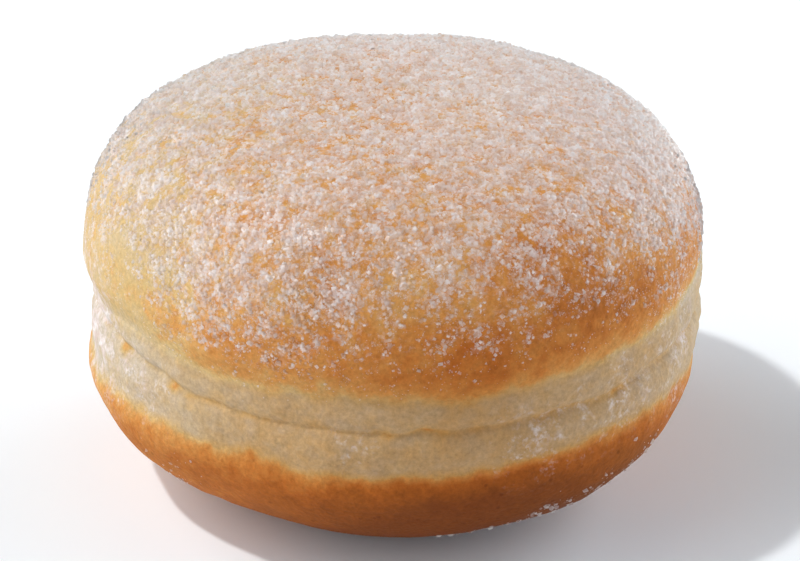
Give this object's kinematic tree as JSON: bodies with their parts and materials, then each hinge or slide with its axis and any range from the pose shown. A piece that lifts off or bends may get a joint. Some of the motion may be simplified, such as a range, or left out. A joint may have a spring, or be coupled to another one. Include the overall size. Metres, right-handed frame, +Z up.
{
  "type": "jelly filled doughnut",
  "caption": "Round filled doughnut with two browned crusts, a pale creased collar between them, and sugar clumps on top.",
  "frame": {"origin": "on the surface the doughnut rests on, under the middle of its width and depth", "axes": "+Z up, -Y towards the front, +X to the right seen from the front"},
  "size_m": [0.0852, 0.0854, 0.0566],
  "materials": {
    "dough": "fried crust, browned and matte, with a pale collar",
    "sugar": "granulated sugar, white and translucent"
  },
  "bodies": {
    "root": {"doughnut": "dough"}
  },
  "joints": []
}
